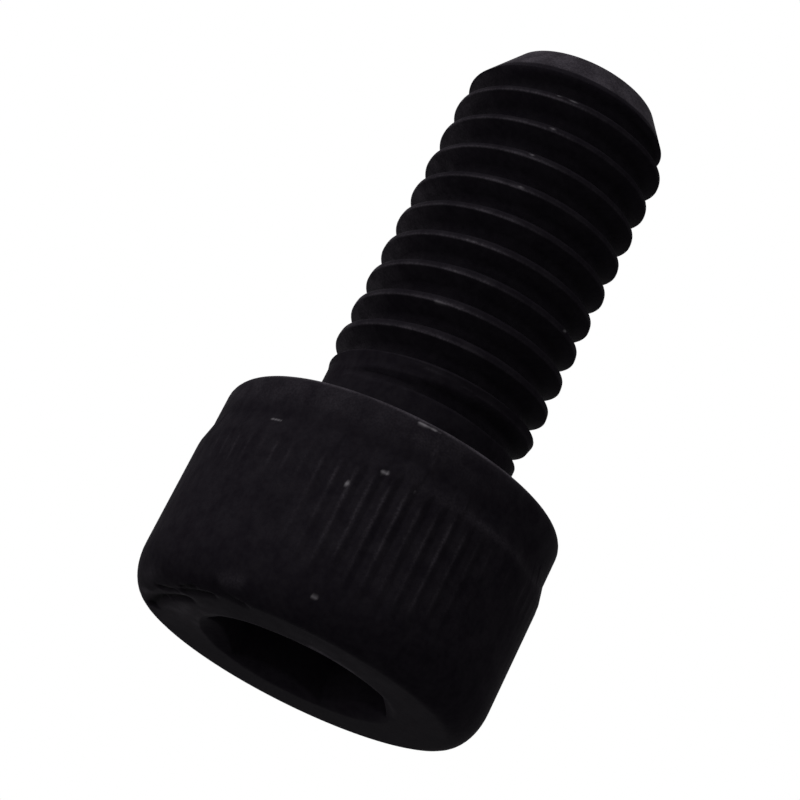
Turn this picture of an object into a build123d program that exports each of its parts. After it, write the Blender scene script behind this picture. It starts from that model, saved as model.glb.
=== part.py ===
from build123d import *

import os
from math import atan, cos, degrees, pi, radians, sqrt, tan

# Socket head cap screw, M8 x 1.25, 16 mm long under the head.
#
# The screw stands on its head: the origin is the centre of the flat face around
# the hex socket, and +Z runs along the axis to the thread's tip. One corner of
# the hex socket lies on +X. Millimetres and degrees.

# Head
head_height = 8.0
knurl_diameter = 12.96
band_height = 1.72
band_drop = 0.16
step_height = 0.76
corner_height = 1.5
corner_width = 0.88
shoulder_radius = 0.6

# Knurl rolled into the side of the head
ridge_count = 68
ridge_depth = 0.14
ridge_land = 0.16
ridge_angle = 1.32

# Hex socket
socket_width = 6.08
socket_depth = 4.35
punch_angle = 150.0
mouth_margin = 0.14
mouth_angle = 120.0

# Shank and thread
shank_length = 16.0
thread_diameter = 7.88
pitch = 1.25
thread_angle = 60.0
crest_land = 0.16
root_land = 0.25
neck_drop = 0.23
neck_length = 2.1
fillet_height = 0.45
fillet_width = 0.4
rise_length = 0.87
tip_drop = 1.12
tip_length = 1.6
groove_start = 1.91
groove_start_angle = 296.0

# Thread rolling: the groove rises out of the shank along a cone before its
# start, and the rod it is rolled into is longer than the finished shank
run_out_turn = 105.0
run_out_rise = 0.56
rod_spare = 3.0
rise_spare = 0.25
roll_clearance = 0.06
roll_height = 0.3

# Sizes that follow from those above
knurl_radius = knurl_diameter / 2
band_radius = knurl_radius - band_drop
face_radius = knurl_radius - corner_width
thread_radius = thread_diameter / 2
neck_radius = thread_radius - neck_drop
tip_radius = thread_radius - tip_drop
mouth_radius = socket_width / sqrt(3) + mouth_margin
tip_height = head_height + shank_length
band_start = head_height - band_height
knurl_end = band_start - step_height
shank_start = head_height + fillet_height
neck_end = head_height + neck_length
rise_end = neck_end + rise_length
rise_slope = neck_drop / rise_length
tip_slope = tip_drop / tip_length
outline_radius = thread_radius + rise_spare
flank_slope = tan(radians(thread_angle / 2))
groove_width = pitch - crest_land
groove_depth = (groove_width - root_land) / 2 / flank_slope
groove_mouth = groove_width / 2 + roll_clearance * flank_slope
groove_base = head_height + groove_start
run_out_drop = pitch * run_out_turn / 360
run_out_cone = degrees(atan(run_out_rise / run_out_drop))
rod_end = tip_height + rod_spare * pitch
mouth_depth = mouth_radius / tan(radians(mouth_angle / 2))
punch_depth = socket_width / 2 / tan(radians(punch_angle / 2))
ridge_spacing = 2 * pi * knurl_radius / ridge_count
flute_width = ridge_spacing - ridge_land
flute_angle = ridge_angle + 180 / ridge_count

# Paths of the thread groove, drawn from +X, and of its run-out, drawn from -X,
# both turned to the start of the groove
with BuildLine() as helix:
    Helix(
        pitch=pitch,
        height=tip_height + pitch - groove_base,
        radius=thread_radius,
        center=(0, 0, groove_base),
    )
with BuildLine() as cone_helix:
    Helix(
        pitch=pitch / cos(radians(run_out_cone)),
        height=run_out_drop,
        radius=thread_radius,
        center=(0, 0, groove_base),
        direction=(0, 0, -1),
        cone_angle=run_out_cone,
    )
groove_path = helix.edges()[0].rotate(Axis.Z, groove_start_angle)
run_out_path = cone_helix.edges()[0].rotate(Axis.Z, groove_start_angle + 180)

# Section of the thread groove, at the start of its path
groove_point = groove_path @ 0
outward = Vector(groove_point.X, groove_point.Y, 0).normalized()
section_plane = Plane(origin=groove_point, x_dir=outward, z_dir=groove_path % 0)
with BuildSketch(section_plane) as groove:
    Polygon(
        (-groove_depth, -root_land / 2),
        (roll_clearance, -groove_mouth),
        (roll_height, -groove_mouth),
        (roll_height, groove_mouth),
        (roll_clearance, groove_mouth),
        (-groove_depth, root_land / 2),
        align=None,
    )

with BuildPart() as cap_screw:
    # Rod that the thread is rolled into
    with Locations((0, 0, shank_start)):
        Cylinder(thread_radius, rod_end - shank_start, align=(Align.CENTER, Align.CENTER, Align.MIN))

    # Thread groove and its run-out towards the head
    sweep(sections=groove.sketch, path=groove_path, is_frenet=True, mode=Mode.SUBTRACT)
    sweep(sections=groove.sketch, path=run_out_path, is_frenet=True, mode=Mode.SUBTRACT)

    # Outline of the shank: neck, rise to the thread, chamfered tip
    with BuildSketch(Plane.XZ):
        with BuildLine():
            Polyline(
                (0, shank_start),
                (neck_radius, shank_start),
                (neck_radius, neck_end),
                (outline_radius, rise_end + rise_spare / rise_slope),
                (outline_radius, tip_height - tip_length - rise_spare / tip_slope),
                (tip_radius, tip_height),
                (0, tip_height),
                close=True,
            )
        make_face()
    revolve(axis=Axis.Z, mode=Mode.INTERSECT)

    # Head with its rounded corner, step, plain band and the fillet under it
    with BuildSketch(Plane.XZ):
        with BuildLine():
            Line((0, 0), (face_radius, 0))
            EllipticalCenterArc(
                (face_radius, corner_height),
                corner_width,
                corner_height,
                start_angle=-90,
                arc_size=90,
            )
            Polyline(
                (knurl_radius, corner_height),
                (knurl_radius, knurl_end),
                (band_radius, band_start),
                (band_radius, head_height - shoulder_radius),
            )
            CenterArc((band_radius - shoulder_radius, head_height - shoulder_radius), shoulder_radius, 0, 90)
            Line((band_radius - shoulder_radius, head_height), (neck_radius + fillet_width, head_height))
            EllipticalCenterArc(
                (neck_radius + fillet_width, shank_start),
                fillet_width,
                fillet_height,
                start_angle=180,
                arc_size=90,
            )
            Polyline((neck_radius, shank_start), (0, shank_start), (0, 0))
        make_face()
    revolve(axis=Axis.Z)

    # Knurl flutes, which run out on the rounded corner and on the step
    with BuildSketch():
        with PolarLocations(knurl_radius, ridge_count, start_angle=flute_angle):
            Polygon(
                (-ridge_depth, 0),
                (ridge_depth, -flute_width),
                (ridge_depth, flute_width),
                align=None,
            )
    extrude(amount=band_start, mode=Mode.SUBTRACT)

    # Hex socket, the cone the punch leaves at its bottom and its countersunk mouth
    with BuildSketch():
        RegularPolygon(socket_width / 2, 6, major_radius=False)
    extrude(amount=socket_depth, mode=Mode.SUBTRACT)
    with Locations((0, 0, socket_depth)):
        Cone(socket_width / 2, 0, punch_depth, align=(Align.CENTER, Align.CENTER, Align.MIN), mode=Mode.SUBTRACT)
    Cone(mouth_radius, 0, mouth_depth, align=(Align.CENTER, Align.CENTER, Align.MIN), mode=Mode.SUBTRACT)

cap_screw.part.label = "cap_screw"

os.makedirs("parts", exist_ok=True)
export_step(cap_screw.part, "parts/cap_screw.step")
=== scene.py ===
import math

import bmesh
import bpy
import numpy as np
from mathutils import Matrix, Vector


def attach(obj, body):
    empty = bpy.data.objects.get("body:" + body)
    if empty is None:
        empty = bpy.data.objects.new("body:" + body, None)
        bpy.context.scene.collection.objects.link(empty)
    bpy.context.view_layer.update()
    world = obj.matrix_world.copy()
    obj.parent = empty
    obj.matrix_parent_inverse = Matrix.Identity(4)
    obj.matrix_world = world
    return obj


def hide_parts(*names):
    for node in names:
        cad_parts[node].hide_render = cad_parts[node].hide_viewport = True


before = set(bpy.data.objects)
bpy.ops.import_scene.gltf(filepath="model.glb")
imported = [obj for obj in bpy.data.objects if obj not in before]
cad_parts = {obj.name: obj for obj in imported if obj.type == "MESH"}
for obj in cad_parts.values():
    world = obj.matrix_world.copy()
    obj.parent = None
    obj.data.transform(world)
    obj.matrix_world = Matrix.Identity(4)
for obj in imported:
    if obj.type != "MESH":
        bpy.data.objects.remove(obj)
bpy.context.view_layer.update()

# Cap screw: a metric socket head cap screw of black oxide steel, made in one piece.
# The head and its hex socket are cold forged from wire, then the knurl is rolled
# into the head's side and the thread into the shank. Its sizes are in millimetres.

chance = np.random.default_rng(8)
points = []
point_wear_and_light = []
faces = []


def turn_of(columns):
    """The angle of each column of points around the axis, in radians from +X."""
    return np.arange(columns) * 2 * math.pi / columns


def around(columns, angles, values):
    """A value for each column, from the values at a few angles in degrees from +X."""
    return np.interp(np.arange(columns) * 360 / columns, angles, values)


def ring(columns, radius, height, wear_and_light=0.0):
    """A closed row of points around the axis. The last argument is how far the black is abraded there,
    with painted highlight and shade added in places.
    """
    turn = turn_of(columns)
    first = len(points)
    rows = np.broadcast_arrays(radius * np.cos(turn), radius * np.sin(turn), height, wear_and_light)
    points.extend(np.stack(rows[:3], 1))
    point_wear_and_light.extend(rows[3])
    return list(range(first, first + columns))


def join(low, high):
    """Faces between two rings, where one may have twice the points of the other."""
    if len(low) == len(high):
        faces.extend(zip(low, low[1:] + low[:1], high[1:] + high[:1], high))
        return
    coarse, fine = sorted((low, high), key=len)
    for i, (a, b) in enumerate(zip(coarse, coarse[1:] + coarse[:1])):
        p, q, r = fine[2 * i], fine[2 * i + 1], fine[(2 * i + 2) % len(fine)]
        faces.extend([(a, p, q), (a, q, b), (b, q, r)])


def cap(edge, height, wear_and_light=0.0):
    """Closes a ring with a fan around a point on the axis."""
    middle = len(points)
    points.append(np.array((0.0, 0.0, height)))
    point_wear_and_light.append(wear_and_light)
    faces.extend((middle, a, b) for a, b in zip(edge, edge[1:] + edge[:1]))


# Columns of points: 12 for each ridge of the knurl, and fewer where the screw is plain
ridge_count = 68
ridge_columns = 12
knurl_columns = ridge_columns * ridge_count
plain_columns = knurl_columns // 2
shank_columns = knurl_columns // 4

# Hex socket, from the cone that the punch left at its bottom out to its mouth
socket_flat = 3.04
socket_corner = 3.48
socket_depth = 4.35
bottom_bevel = 0.03
punch_rise = 0.81
mouth_radius = 3.65
mouth_slope = math.tan(math.radians(60))


def hex_radius(columns):
    """The radius of the hexagon for each column, with its corners slightly blunted."""
    from_flat = turn_of(columns) % (math.pi / 3) - math.pi / 6
    return np.minimum(socket_flat / np.cos(from_flat), socket_corner)


rings = []
for radius in (0.7, 1.5, 2.3, 2.98):
    rings.append(ring(shank_columns, radius, socket_depth + punch_rise * (1 - radius / socket_flat)))
cap(rings[0], socket_depth + punch_rise)
hexagon = hex_radius(shank_columns)
rings.append(ring(shank_columns, hexagon - bottom_bevel, socket_depth))
for height in (4.28, 3.6, 2.8, 2.0, 1.4):
    rings.append(ring(shank_columns, hexagon, height))
hexagon = hex_radius(plain_columns)
mouth_width = mouth_radius - hexagon
mouth_depth = mouth_width / mouth_slope
for above_mouth in (0.5, 0.12, 0.03):
    rings.append(ring(plain_columns, hexagon, mouth_depth + above_mouth))
for share, wear_and_light in ((0.08, 0.0), (0.5, 0.0), (0.92, 0.1)):
    rings.append(ring(plain_columns, hexagon + mouth_width * share, mouth_depth * (1 - share), wear_and_light))

# Flat face around the socket, worn and with painted light, lighter on one side and towards the socket
face_start = 3.7
face_end = 5.5
face_wear_and_light = around(plain_columns,
                  (0, 60, 120, 165, 198, 222, 240, 262, 290, 330, 360),
                  (0.02, 0.0, 0.05, 0.4, 0.35, 0.12, 0.14, 0.27, 0.25, 0.1, 0.02))
for radius in np.linspace(face_start, face_end, 15):
    wear_and_light = face_wear_and_light * np.interp(radius, (face_start, 3.9, face_end), (1.3, 1.0, 0.8))
    rings.append(ring(plain_columns, radius, 0.0, wear_and_light))

# Ridges of the knurl, each a little different from the next. They are pressed less
# deep on some sides of the head; their crowns are worn and carry a painted highlight where they stand out.
knurl_radius = 6.48
ridge_depth = 0.14
ridge_land = 0.16
ridge_offset = 3
crown_width = 0.11
sway_depth = 0.006
sway_rate = 1.7
half_ridge = math.pi * knurl_radius / ridge_count
from_ridge = np.arange(knurl_columns) - ridge_offset
ridge = np.round(from_ridge / ridge_columns).astype(int) % ridge_count
off_crown = np.abs((from_ridge + ridge_columns // 2) % ridge_columns - ridge_columns // 2)
across = off_crown * 2 * math.pi * knurl_radius / knurl_columns
crown = np.clip(1 - across / crown_width, 0, 1)
flute = ridge_depth * np.clip((across - ridge_land / 2) / (half_ridge - ridge_land / 2), 0, 1)
flute_share = around(knurl_columns,
                     (0, 20, 130, 165, 215, 235, 262, 290, 312, 345, 360),
                     (0.1, 0.45, 0.45, 0.05, 0.08, 0.17, 0.45, 0.4, 0.06, 0.03, 0.1))
# Painted highlight band on the step, on one side of the head
step_highlight_share = around(knurl_columns, (262, 284, 340, 360), (0, 1, 1, 0))
ridge_drop = chance.uniform(0.0, 0.02, ridge_count)
ridge_shine = chance.uniform(0.25, 1.0, ridge_count)
ridge_sway = chance.uniform(0, 2 * math.pi, ridge_count)
ridge_reach = chance.uniform(-0.12, 0.12, ridge_count)

# Outline of the head's side: the rounded corner, the knurl, and the step on which
# it runs out towards the plain band
face_radius = 5.6
corner_width = 0.88
corner_height = 1.5
corner_join = 0.3
knurl_end = 5.52
last_row = 0.18
band_radius = 6.32
band_start = 6.28
band_drop = knurl_radius - band_radius
step_height = band_start - knurl_end
outline = []
for bend in np.radians([0, 8, 16, 24, 32, 40, 48, 55, 61, 66, 74, 82]):
    outline.append((face_radius + corner_width * math.sin(bend), corner_height * (1 - math.cos(bend))))
for height in np.linspace(corner_height, knurl_end - last_row, 20):
    outline.append((knurl_radius, height))
for share in np.linspace(0, 1, 10):
    height = knurl_end + step_height * share
    on_step = np.clip((height - ridge_reach[ridge] - knurl_end) / step_height, 0, 1)
    outline.append((knurl_radius - band_drop * on_step, height))

# Rings up the head's side. The crowns are worn and carry a painted highlight along most
# of their length where the ridges are deep, and only at their upper ends where the knurl is nearly smooth.
plain_rub = 0.12
step_highlight = 0.22
step_highlight_height = 5.75
step_highlight_spread = 0.2
corner_rub_start = 0.9
corner_rub_rise = 1.2
for radius, height in outline:
    sway = sway_depth * np.sin(sway_rate * height + ridge_sway[ridge])
    pressed = flute_share * np.interp(height, (0.7, 2.0, 4.0, 5.2), (0.3, 0.55, 0.85, 1.0))
    knurled = knurl_radius - ridge_drop[ridge] * pressed - sway * pressed - flute * pressed
    long_wear_and_highlight = np.interp(height, (1.2, 2.4, 4.8, 5.6), (0.0, 0.5, 1.0, 0.0))
    short_wear_and_highlight = np.interp(height, (4.2, 4.6, 5.2, 5.5), (0.0, 0.7, 0.8, 0.0))
    crown_wear_and_highlight = short_wear_and_highlight + (long_wear_and_highlight - short_wear_and_highlight) * np.clip(flute_share * 5 - 0.8, 0, 1)
    # Crowns get their wear and a painted highlight, with a random strength for each ridge
    wear_and_light = plain_rub + crown * ridge_shine[ridge] * crown_wear_and_highlight * (0.25 + 0.6 * flute_share)
    # Painted highlight band along the step, on one side
    wear_and_light = wear_and_light + step_highlight * step_highlight_share * np.exp(-((height - step_highlight_height) / step_highlight_spread) ** 2)
    wear_and_light = wear_and_light * np.clip((height - corner_rub_start) / corner_rub_rise, 0, 1)
    if height < corner_join:
        rings.append(ring(plain_columns, np.minimum(radius, knurled[::2]), height, wear_and_light[::2]))
    else:
        rings.append(ring(knurl_columns, np.minimum(radius, knurled), height, wear_and_light))

# Plain band, rounded shoulder, bearing face and the fillet under the head
head_height = 8.0
shoulder_radius = 0.6
neck_radius = 3.71
fillet_width = 0.4
fillet_height = 0.45
fillet_rub = 0.05
band_rub_start = 6.1
band_rub = around(plain_columns, (0, 200, 272, 290, 360), (0.2, 0.26, 0.24, 0.16, 0.2))
# Painted line of light along the shoulder's edge, patchy around the head
edge_turn = turn_of(plain_columns)
shoulder_edge_highlight = 0.5 + 0.2 * np.sin(9 * edge_turn + 1) * np.sin(4 * edge_turn) + 0.1 * np.sin(31 * edge_turn)
for height in (6.4, 6.75, 7.1, head_height - shoulder_radius):
    rings.append(ring(plain_columns, band_radius, height, band_rub * min(1.0, height - band_rub_start)))
for bend in np.radians([12, 24, 34, 42, 50, 58, 66, 76]):
    radius = band_radius - shoulder_radius * (1 - math.cos(bend))
    height = head_height - shoulder_radius * (1 - math.sin(bend))
    wear_and_light = band_rub + shoulder_edge_highlight * np.interp(bend, (0.66, 0.87), (0, 1))
    rings.append(ring(plain_columns, radius, height, wear_and_light))
for radius, wear_and_light in ((5.7, 0.7), (5.2, 0.2), (4.7, 0.1), (4.3, 0.05)):
    rings.append(ring(plain_columns, radius, head_height, wear_and_light))
for bend in np.radians([0, 18, 36, 54, 72]):
    radius = neck_radius + fillet_width * (1 - math.sin(bend))
    height = head_height + fillet_height * (1 - math.cos(bend))
    rings.append(ring(shank_columns, radius, height, fillet_rub))

# Thread. Its rows follow the helix, so each column of points around the shank
# holds the same rows a little higher than the column before it.
pitch = 1.25
crest_radius = 3.94
root_radius = 3.2126
root_end = 0.125
crest_start = 0.545
crest_end = 0.705
crest_flat = 0.03
crest_drop = 0.03
crest_spread = 0.07
spread_end = 19.0
spread_length = 8.0
tip_fill_start = 22.6
tip_fill_slope = 0.3
groove_base = 9.91
groove_start_angle = 296.0
run_out_turn = 105.0
run_out_rise = 0.56
shank_start = head_height + fillet_height
tip_height = 24.0
tip_radius = 2.82
tip_slope = 0.7
neck_end = 10.1
rise_height = 0.23
rise_length = 0.87
rise_slope = rise_height / rise_length


def crest_edge(height):
    """Place of the crest's edge on the tip side: the crests are broader near the head."""
    return crest_end + crest_spread * np.clip((spread_end - height) / spread_length, 0, 1)


def groove_radius(above, height):
    """Radius of the rolled section, above being the height over the middle of the groove below."""
    turn = (height - above - groove_base) / pitch * 360
    lower = root_radius + np.maximum(0, -turn) * run_out_rise / run_out_turn
    upper = root_radius + np.maximum(0, -turn - 360) * run_out_rise / run_out_turn
    depth = crest_radius - root_radius
    lower = lower + np.maximum(0, above - root_end) * depth / (crest_start - root_end)
    edge = crest_edge(height)
    upper = upper + np.maximum(0, pitch - root_end - above) * depth / (pitch - root_end - edge)
    groove_height = np.where(above < pitch / 2, height - above, height - above + pitch)
    fill = tip_fill_slope * np.maximum(0, groove_height - tip_fill_start)
    rounding = np.clip((above - crest_start - crest_flat) / (edge - crest_start), 0, 1)
    return np.minimum(crest_radius - crest_drop * rounding ** 2, np.minimum(lower, upper) + fill)


def blank_radius(height):
    """Radius of the neck, of the rise to the thread and of the chamfered tip."""
    return np.minimum(neck_radius + np.maximum(0, height - neck_end) * rise_slope,
                      tip_radius + (tip_height - height) * tip_slope)


# Rows of one pitch of the thread, from the middle of a groove over the crest to the
# next one, and how worn each is, with a painted highlight: most on the crest's edge towards the head
rows = np.array([0.0, 0.07, root_end, 0.22, 0.33, 0.44, 0.515, crest_start, 0.58,
                 0.625, 0.67, crest_end, 0.735, 0.83, 0.93, 1.03, pitch - root_end, 1.18])
row_wear_and_highlight = np.array([0.0, 0.0, 0.0, 0.0, 0.0, 0.0, 0.1, 0.7, 0.5,
                    0.25, 0.13, 0.08, 0.16, 0.14, 0.08, 0.03, 0.0, 0.0])
row_count = len(rows)
first_groove = groove_base - pitch * groove_start_angle / 360 - 2 * pitch
pitches = math.ceil((tip_height - first_groove) / pitch) + 1
column_height = first_groove + pitch * np.arange(shank_columns) / shank_columns
row_height = pitch * np.repeat(np.arange(pitches), row_count)
nominal = column_height[:, None] + row_height + np.tile(rows, pitches)
above = np.tile(rows, pitches) + np.zeros_like(nominal)
shift = (crest_edge(nominal) - crest_end) * np.interp(above, (0.58, crest_end, 0.735, 0.93), (0, 1, 1, 0))
height_grid = nominal + shift
above = above + shift

# In each column the nearest row moves to where the thread's section meets the neck
# or the chamfer, and the first row past each end of the shank moves to that end
sample_step = 0.01
sample = np.arange(shank_start, tip_height, sample_step)
for j in range(shank_columns):
    over = (sample - column_height[j]) % pitch
    cut = groove_radius(over, sample) - blank_radius(sample)
    for k in np.nonzero(np.diff(np.sign(cut)))[0]:
        meeting = sample[k] + sample_step * cut[k] / (cut[k] - cut[k + 1])
        nearest = np.argmin(np.abs(height_grid[j] - meeting))
        above[j, nearest] += meeting - height_grid[j, nearest]
        height_grid[j, nearest] = meeting
bottom = (height_grid <= shank_start).sum(1) - 1
top = (height_grid < tip_height).sum(1)
for j in range(shank_columns):
    for limit, level in ((shank_start, bottom[j]), (tip_height, top[j])):
        above[j, level] += limit - height_grid[j, level]
        height_grid[j, level] = limit
section = groove_radius(above, height_grid)
blank = blank_radius(height_grid)
radius_grid = np.minimum(section, blank)

# Worn black with a painted highlight on the crests, brighter on one side and with
# painted shade on the other; painted light on one side's flanks; worn black on the neck;
# and worn black with a painted highlight on the chamfer's upper part
wear_and_highlight_start = 3.45
wear_and_highlight_rise = 0.3
neck_rub_end = neck_end + 0.3
chamfer_start = 22.0
chamfer_wear_and_highlight = 0.65
chamfer_highlight_rise = 0.08
# Painted highlight where the crests glint on one side, falling to painted shade on the other
side_highlight_and_shade = around(shank_columns,
                  (0, 180, 225, 240, 253, 266, 282, 345, 360),
                  (0.6, 0.8, 0.7, 1.1, 1.1, 0.55, 0.4, 0.3, 0.6))
# Painted light on the thread along one side, where the lamp grazes the flanks
side_flank_light = around(shank_columns, (0, 120, 150, 180, 222, 360), (0.0, 0.0, 0.5, 0.5, 0.0, 0.0))
neck_rub = around(shank_columns,
                  (0, 180, 220, 265, 300, 345, 360),
                  (0.15, 0.08, 0.05, 0.05, 0.05, 0.05, 0.15))
# Worn black with a painted highlight on the chamfer's upper part, reaching lower on one side
bright_start = around(shank_columns, (0, 180, 360), (23.15, 22.75, 23.15))
tip_wear_and_highlight = chamfer_wear_and_highlight * np.clip((height_grid - bright_start[:, None]) / chamfer_highlight_rise, 0, 1)
crest_share = np.clip((radius_grid - wear_and_highlight_start) / wear_and_highlight_rise, 0, 1)
wear_and_light_grid = np.maximum(np.tile(row_wear_and_highlight, pitches) * crest_share * side_highlight_and_shade[:, None], side_flank_light[:, None])
on_blank = blank <= section + 1e-6
wear_and_light_grid = np.where((height_grid < neck_rub_end) & on_blank, neck_rub[:, None], wear_and_light_grid)
wear_and_light_grid = np.where((height_grid > chamfer_start) & on_blank, tip_wear_and_highlight, wear_and_light_grid)

# Points of the shank, numbered, with -1 where a column has no point in that row. The
# last column joins the first one, where the same groove lies one pitch lower.
turn_grid = turn_of(shank_columns)[:, None]
shank_points = np.stack([radius_grid * np.cos(turn_grid), radius_grid * np.sin(turn_grid), height_grid], 2)
row_number = np.arange(height_grid.shape[1])
kept = (row_number >= bottom[:, None]) & (row_number <= top[:, None])
number = np.full(height_grid.shape, -1)
number[kept] = len(points) + np.arange(kept.sum())
number = number.tolist()
points.extend(shank_points[kept])
point_wear_and_light.extend(wear_and_light_grid[kept])
for near, far in zip(number, number[1:] + [number[0][row_count:] + [-1] * row_count]):
    for square in zip(near, far, far[1:], near[1:]):
        corners = tuple(n for n in square if n >= 0)
        if len(corners) > 2:
            faces.append(corners)
rings.append([number[j][bottom[j]] for j in range(shank_columns)])
for low, high in zip(rings, rings[1:]):
    join(low, high)

# Sheared end of the wire at the tip, slightly dished
dish_height = 23.93
dish_rub = 0.2
tip_rings = [[number[j][top[j]] for j in range(shank_columns)]]
for radius, height, wear_and_light in ((2.72, tip_height, 0.6), (2.4, 23.98, 0.3), (1.6, 23.95, 0.2)):
    tip_rings.append(ring(shank_columns, radius, height, wear_and_light))
tip_rings.append(ring(shank_columns, 0.7, dish_height, dish_rub))
for low, high in zip(tip_rings, tip_rings[1:]):
    join(low, high)
cap(tip_rings[-1], dish_height, dish_rub)
points = np.array(points)
point_wear_and_light = np.array(point_wear_and_light, float)
chipped = np.zeros(len(points))


def nearness(centre, size):
    """For each point of the screw, 1 at the centre and almost 0 at two sizes from it."""
    return np.exp(-(np.linalg.norm(points - centre, axis=1) / size) ** 2)


# Nicks where the black is knocked off, each a short stroke: where it starts
# (angle, height, radius), how far it runs around and up, its size and how bright
# it is. A row of them is left on the crests by the screws it was tumbled with.
nicks = [
    (225.8, 23.08, 3.3, 1.5, 0.0, 0.06, 0.8),
    (279.1, 23.26, 3.3, 0.0, 0.0, 0.06, 0.5),
    (249.0, 21.71, 3.92, 11.0, 0.02, 0.05, 0.6),
    (253.0, 20.42, 3.92, 2.0, 0.0, 0.06, 0.6),
    (233.5, 20.61, 3.92, 0.5, 0.0, 0.05, 0.5),
    (249.5, 19.2, 3.92, 1.5, 0.0, 0.06, 0.6),
    (251.5, 17.88, 3.92, 2.0, 0.0, 0.06, 0.6),
    (240.0, 15.31, 3.92, 6.0, 0.02, 0.05, 0.5),
    (311.0, 14.37, 3.92, 1.5, 0.05, 0.06, 0.7),
    (241.0, 14.04, 3.92, 2.0, 0.0, 0.05, 0.5),
    (248.3, 14.07, 3.92, 0.5, 0.0, 0.05, 0.3),
    (240.0, 12.76, 3.92, 8.0, 0.02, 0.05, 0.7),
    (252.0, 12.79, 3.92, 0.5, 0.0, 0.05, 0.4),
    (255.0, 11.53, 3.92, 2.0, 0.0, 0.04, 0.3),
    (260.5, 7.7, 6.21, 2.0, 0.01, 0.08, 1.0),
    (264.2, 7.74, 6.2, 1.5, 0.0, 0.07, 0.8),
    (266.7, 7.76, 6.2, 0.5, 0.0, 0.05, 0.5),
    (216.5, 6.12, 6.35, 3.5, -0.03, 0.05, 0.7),
    (257.2, 5.6, 6.46, 1.2, 0.03, 0.08, 0.9),
    (268.0, 5.4, 6.46, 0.0, 0.12, 0.05, 0.5),
    (249.4, 4.73, 6.46, 0.3, 0.0, 0.06, 0.9),
    (255.1, 0.89, 6.36, 1.3, 0.0, 0.06, 1.0),
]
nick_depth = 0.015
for angle, height, radius, run, climb, size, bright in nicks:
    for share in np.linspace(0, 1, 6):
        turn = math.radians(angle + run * share)
        outward = np.array((math.cos(turn), math.sin(turn), 0.0))
        near = nearness(outward * radius + (0.0, 0.0, height + climb * share), size)
        chipped = np.maximum(chipped, near * bright)
    points -= outward * (near * nick_depth)[:, None]

# Dents and scuffs on the head, each a stroke: its start and its end (angle, radius,
# height), its size, its depth, and how far the black is worn there, which is below 0 in a dent, where it
# paints shade
dents_and_scuffs = [
    (161, 5.45, 0.0, 180, 5.1, 0.0, 0.2, 0.12, -1.0),
    (184, 5.0, 0.0, 198, 4.75, 0.0, 0.18, 0.12, -0.8),
    (203, 5.3, 0.0, 220, 5.45, 0.0, 0.16, 0.1, -0.8),
    (224, 5.95, 0.14, 234, 5.5, 0.0, 0.17, 0.08, -0.5),
    (206, 5.6, 0.0, 214, 5.75, 0.02, 0.1, 0.07, -1.0),
    (190, 5.6, 0.0, 198, 5.3, 0.0, 0.12, 0.08, -1.0),
    (170, 4.45, 0.0, 186, 4.3, 0.0, 0.2, 0.0, 0.6),
    (196, 5.15, 0.0, 203, 4.85, 0.0, 0.15, 0.0, 0.5),
    (184, 6.05, 0.2, 196, 6.12, 0.25, 0.35, 0.0, 0.3),
    (227, 6.2, 0.4, 233, 6.22, 0.45, 0.35, 0.0, 0.28),
    (171, 5.8, 0.05, 177, 5.65, 0.02, 0.2, 0.0, 0.5),
    (267.6, 6.34, 7.35, 269, 6.34, 6.8, 0.06, 0.0, 0.55),
    (262, 3.85, 0.0, 272, 3.8, 0.0, 0.1, 0.02, 0.7),
    (276, 3.75, 0.0, 287, 3.75, 0.0, 0.09, 0.02, 0.7),
]
for start, start_radius, start_height, end, end_radius, end_height, size, depth, wear_and_light in dents_and_scuffs:
    stroke_share = np.zeros(len(points))
    for share in np.linspace(0, 1, 12):
        turn = math.radians(start + (end - start) * share)
        radius = start_radius + (end_radius - start_radius) * share
        height = start_height + (end_height - start_height) * share
        stroke_share = np.maximum(stroke_share, nearness((radius * math.cos(turn), radius * math.sin(turn), height), size))
    points[:, 2] += stroke_share * depth
    point_wear_and_light += stroke_share * (wear_and_light - point_wear_and_light)

# Mesh of the screw, in metres, with its wear and painted light and its chips as attributes
millimetre = 0.001
mesh = bpy.data.meshes.new("cap_screw_body")
mesh.from_pydata((points * millimetre).tolist(), [], faces)
shell = bmesh.new()
shell.from_mesh(mesh)
bmesh.ops.recalc_face_normals(shell, faces=shell.faces)
shell.to_mesh(mesh)
shell.free()
for name, values in (("wear_and_light", point_wear_and_light), ("chip", chipped)):
    layer = mesh.attributes.new(name, "FLOAT", "POINT")
    layer.data.foreach_set("value", np.array(values, np.float32))
mesh.validate()
mesh.shade_smooth()
screw = bpy.data.objects.new("cap_screw_body", mesh)
bpy.context.scene.collection.objects.link(screw)


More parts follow.
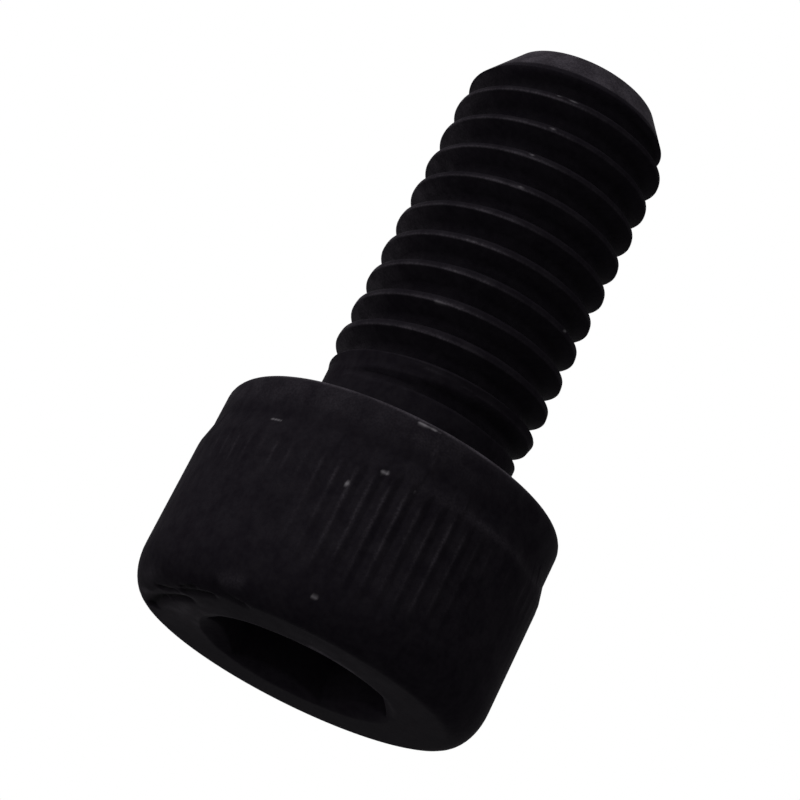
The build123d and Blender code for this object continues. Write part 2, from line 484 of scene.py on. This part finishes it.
class Wire:
    """A socket in a node tree, so that shader maths is written as arithmetic."""

    def __init__(self, tree, socket=None):
        self.tree = tree
        self.socket = socket

    def node(self, kind, settings, inputs, output=0):
        """Any node, from its type, its settings and the values or links of its sockets."""
        made = self.tree.nodes.new(kind)
        for name, value in settings.items():
            setattr(made, name, value)
        for name, value in inputs.items():
            if isinstance(value, Wire):
                self.tree.links.new(value.socket, made.inputs[name])
            else:
                made.inputs[name].default_value = value
        return Wire(self.tree, made.outputs[output] if made.outputs else None)

    def maths(self, operation, first, second):
        return self.node("ShaderNodeMath", {"operation": operation}, {0: first, 1: second})

    def __add__(self, other):
        return self.maths("ADD", self, other)

    def __sub__(self, other):
        return self.maths("SUBTRACT", self, other)

    def __rsub__(self, other):
        return self.maths("SUBTRACT", other, self)

    def __mul__(self, other):
        return self.maths("MULTIPLY", self, other)

    __radd__ = __add__
    __rmul__ = __mul__

    def ease(self, low, high, start=0.0, end=1.0):
        """Start below low, end above high, and a smooth change between them."""
        return self.node("ShaderNodeMapRange", {"interpolation_type": "SMOOTHSTEP"},
                         {0: self, 1: low, 2: high, 3: start, 4: end})

    def blend(self, first, second):
        """One colour where this is 0 and another where it is 1."""
        return self.node("ShaderNodeMix", {"data_type": "RGBA"}, {0: self, 6: first, 7: second}, 2)


# Black oxide: a thin dull black, slightly mottled, greyer where it is worn and where
# highlights are painted, gone in the nicks, and with painted shade in the dents
deep_black = (0.0036, 0.0029, 0.0042, 1.0)
pale_black = (0.0071, 0.0062, 0.0078, 1.0)
dent_shade_black = (0.0012, 0.001, 0.0014, 1.0)
worn_and_lit_grey = (0.035, 0.031, 0.037, 1.0)
bare_steel = (0.1, 0.094, 0.102, 1.0)
finish = bpy.data.materials.new("black_oxide")
finish.use_nodes = True
finish.node_tree.nodes.clear()
tree = Wire(finish.node_tree)
place = tree.node("ShaderNodeTexCoord", {}, {}, "Object")
wear_and_light = tree.node("ShaderNodeAttribute", {"attribute_name": "wear_and_light"}, {}, "Fac")
chip = tree.node("ShaderNodeAttribute", {"attribute_name": "chip"}, {}, "Fac")
grain = tree.node("ShaderNodeTexNoise", {}, {"Vector": place, "Scale": 14000.0, "Detail": 3.0})
mottle = tree.node("ShaderNodeTexNoise", {}, {"Vector": place, "Scale": 5000.0, "Detail": 4.0})
patch = tree.node("ShaderNodeTexNoise", {}, {"Vector": place, "Scale": 1500.0, "Detail": 4.0})
# Grey where the black is worn and where highlights are painted
wear_and_light_mask = (wear_and_light * patch.ease(0.3, 0.7, 0.75, 1.2) * grain.ease(0.3, 0.7, 0.7, 1.25)).ease(0.0, 1.2)
black = (patch * 0.5 + mottle * 0.5).ease(0.2, 0.8).blend(deep_black, pale_black)
# Painted shade in the dents, where the value falls below 0
black = wear_and_light.ease(-0.9, 0.0).blend(dent_shade_black, black)
colour = chip.ease(0.1, 1.0).blend(wear_and_light_mask.blend(black, worn_and_lit_grey), bare_steel)
roughness = grain.ease(0.2, 0.8, 0.5, 0.6) - wear_and_light_mask * 0.12
bump = tree.node("ShaderNodeBump", {}, {"Strength": 0.25, "Distance": 0.00001, "Height": grain})
surface = tree.node("ShaderNodeBsdfPrincipled", {}, {
    "Base Color": colour,
    "Roughness": roughness,
    "Normal": bump,
    "Metallic": 0.0,
    "Specular IOR Level": 0.001,
})
tree.node("ShaderNodeOutputMaterial", {}, {"Surface": surface})
mesh.materials.append(finish)
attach(screw, "root")
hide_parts("cap_screw")

# Floor: a plain pale board under the screw. It is clear from below, because the
# camera looks up at the head's face, and it fades into the white around it.
floor_radius = 0.6
floor_drop = 0.00005
fade_start = 0.03
fade_end = 0.12
board_white = (0.85, 0.85, 0.85, 1.0)
floor_mesh = bpy.data.meshes.new("floor")
floor_turn = np.radians(np.arange(0, 360, 5))
floor_rim = [(floor_radius * math.cos(t), floor_radius * math.sin(t), -floor_drop) for t in floor_turn]
floor_mesh.from_pydata(floor_rim, [], [tuple(range(len(floor_rim)))])
floor = bpy.data.objects.new("floor", floor_mesh)
bpy.context.scene.collection.objects.link(floor)
board = bpy.data.materials.new("pale_board")
board.use_nodes = True
board.node_tree.nodes.clear()
tree = Wire(board.node_tree)
place = tree.node("ShaderNodeTexCoord", {}, {}, "Object")
reach = tree.node("ShaderNodeVectorMath", {"operation": "LENGTH"}, {0: place}, "Value")
behind = tree.node("ShaderNodeNewGeometry", {}, {}, "Backfacing")
hidden = tree.maths("MAXIMUM", behind, reach.ease(fade_start, fade_end))
pale = tree.node("ShaderNodeBsdfDiffuse", {}, {"Color": board_white})
clear = tree.node("ShaderNodeBsdfTransparent", {}, {})
surface = tree.node("ShaderNodeMixShader", {}, {0: hidden, 1: pale, 2: clear})
tree.node("ShaderNodeOutputMaterial", {}, {"Surface": surface})
floor_mesh.materials.append(board)
floor.visible_shadow = False
floor.visible_diffuse = False
floor.visible_glossy = False

# Studio: white surroundings that light the screw evenly, one soft lamp above it to
# the left, a weaker one low on the left and a weak one in front
ambient = 0.36
white = (1.0, 1.0, 1.0, 1.0)
world = bpy.data.worlds.new("white_room")
bpy.context.scene.world = world
world.use_nodes = True
world.node_tree.nodes.clear()
tree = Wire(world.node_tree)
seen = tree.node("ShaderNodeLightPath", {}, {}, "Is Camera Ray")
for ray in ("Is Glossy Ray", "Is Transmission Ray"):
    seen = tree.maths("MAXIMUM", seen, tree.node("ShaderNodeLightPath", {}, {}, ray))
strength = seen * (1 - ambient) + ambient
sky = tree.node("ShaderNodeBackground", {}, {"Color": white, "Strength": strength})
tree.node("ShaderNodeOutputWorld", {}, {"Surface": sky})

middle = Vector((0.0, 0.0, 0.012))
lamps = [
    ("overhead", (-0.14, -0.07, 0.17), 0.12, 0.5),
    ("left", (-0.2, -0.03, -0.03), 0.1, 0.15),
    ("front", (-0.01, -0.21, 0.01), 0.14, 0.1),
]
for name, place, size, power in lamps:
    lamp = bpy.data.lights.new(name, "AREA")
    lamp.shape = "DISK"
    lamp.size = size
    lamp.energy = power
    stand = bpy.data.objects.new(name, lamp)
    stand.location = place
    stand.rotation_euler = (middle - stand.location).to_track_quat("-Z", "Y").to_euler()
    bpy.context.scene.collection.objects.link(stand)

# Camera: below the floor and rolled, as the photograph looks at the screw, at the
# distance that its perspective gives
lean = math.radians(19.183)
roll = math.radians(63.168)
spin = math.radians(9.0)
screw_in_view = Vector((0.00161, 0.00101, -0.09028))
axis = Vector((math.cos(lean) * math.cos(roll), math.cos(lean) * math.sin(roll), -math.sin(lean)))
side = Vector((math.sin(roll), -math.cos(roll), 0.0))
depth = axis.cross(side)
spun_side = side * math.cos(spin) + depth * math.sin(spin)
spun_depth = depth * math.cos(spin) - side * math.sin(spin)
view = Matrix((spun_side, spun_depth, axis))
camera_data = bpy.data.cameras.new("camera")
camera_data.lens = 115.14
camera_data.sensor_width = 36.0
camera_data.clip_start = 0.001
camera = bpy.data.objects.new("camera", camera_data)
camera.matrix_world = Matrix.Translation(middle - view @ screw_in_view) @ view.to_4x4()
bpy.context.scene.collection.objects.link(camera)
bpy.context.scene.camera = camera
bpy.context.scene.view_settings.view_transform = "Standard"
